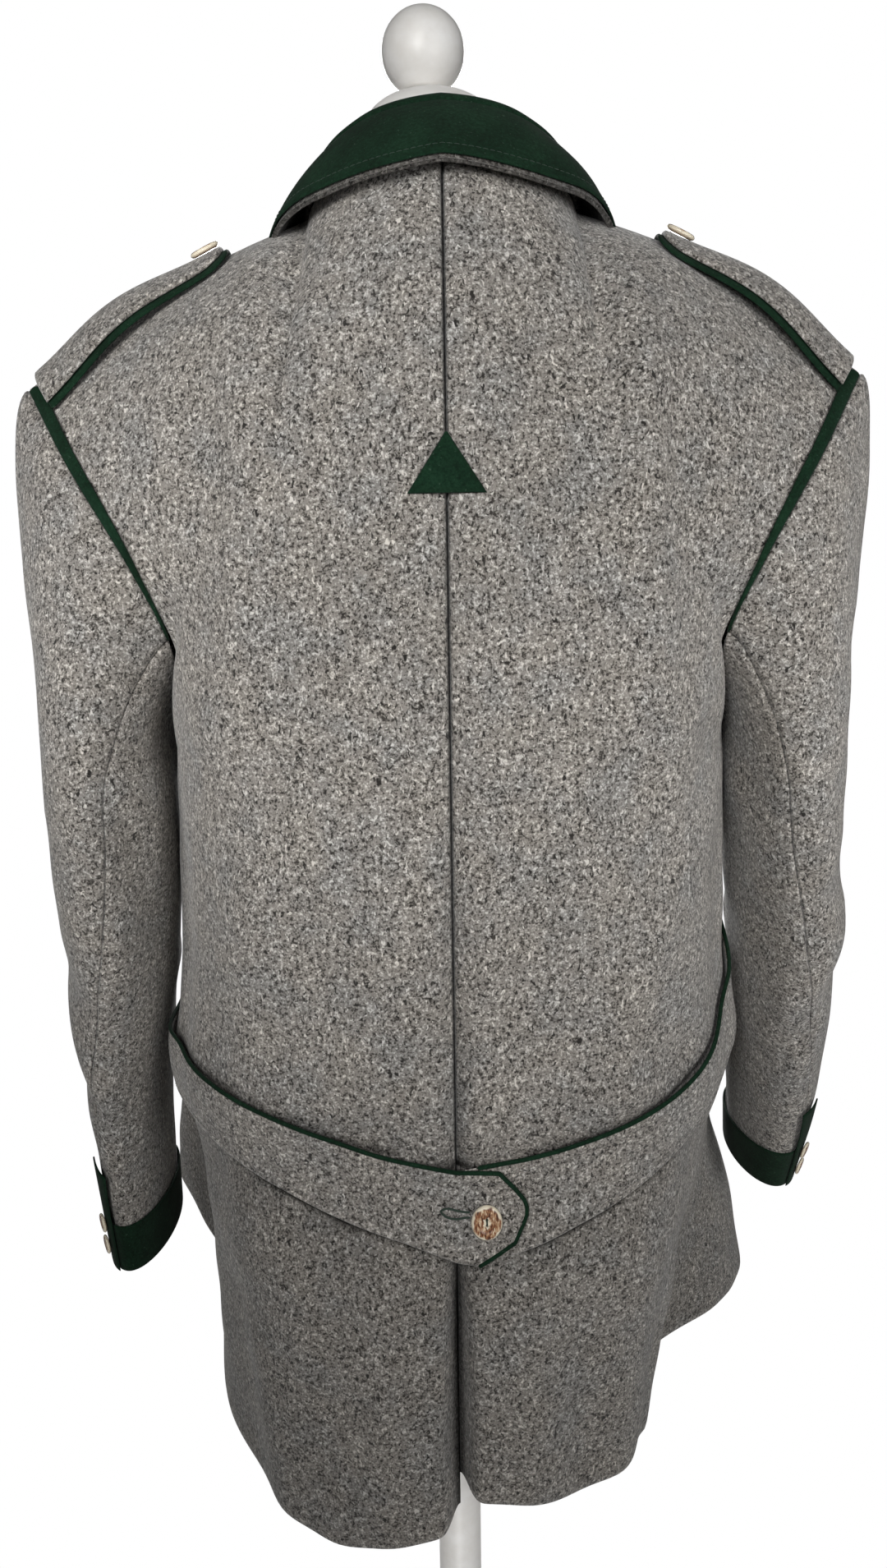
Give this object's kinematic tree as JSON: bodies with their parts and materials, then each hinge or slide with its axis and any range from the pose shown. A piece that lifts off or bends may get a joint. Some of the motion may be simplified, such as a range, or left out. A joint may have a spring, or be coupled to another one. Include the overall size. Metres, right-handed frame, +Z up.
{
  "type": "tyrolean loden jacket on a dress form",
  "caption": "Open grey loden jacket with green collar, straps, piping and half belt, two-piece sleeves, on a plain limbless dress form with a round base.",
  "frame": {"origin": "on the floor at the centre of the base's underside, on the pole's axis", "axes": "+Z up; +Y towards the jacket's back; +X towards the wearer's left; -Y out of the open front"},
  "size_m": [0.5398, 0.5109, 1.6412],
  "materials": {
    "grey_loden": "fulled wool, grey melange, matt",
    "green_cloth": "dark green felted wool, matt",
    "horn": null,
    "form_white": "smooth white jersey cover",
    "stand_white": "white satin paint"
  },
  "bodies": {
    "root": {"back_left": "grey_loden", "back_right": "grey_loden", "front_left": "grey_loden", "front_right": "grey_loden", "sleeve_top_left": "grey_loden", "sleeve_top_right": "grey_loden", "sleeve_under_left": "grey_loden", "sleeve_under_right": "grey_loden", "strap_left": "grey_loden", "strap_right": "grey_loden", "belt_left": "grey_loden", "belt_right": "grey_loden", "collar_under": "grey_loden", "strap_backing_left": "green_cloth", "strap_backing_right": "green_cloth", "armhole_piping_left": "green_cloth", "armhole_piping_right": "green_cloth", "belt_piping_left": "green_cloth", "belt_piping_right": "green_cloth", "cuff_left": "green_cloth", "cuff_right": "green_cloth", "cuff_band_left": "green_cloth", "cuff_band_right": "green_cloth", "collar_top": "green_cloth", "back_triangle": "green_cloth", "belt_button": "horn", "strap_button_left": "horn", "strap_button_right": "horn", "cuff_button_left_1": "horn", "cuff_button_left_2": "horn", "cuff_button_right_1": "horn", "cuff_button_right_2": "horn", "front_button_1": "horn", "front_button_2": "horn", "front_button_3": "horn", "front_button_4": "horn", "form_torso": "form_white", "neck_cap": "form_white", "knob": "stand_white", "pole": "stand_white", "base": "stand_white"}
  },
  "joints": []
}
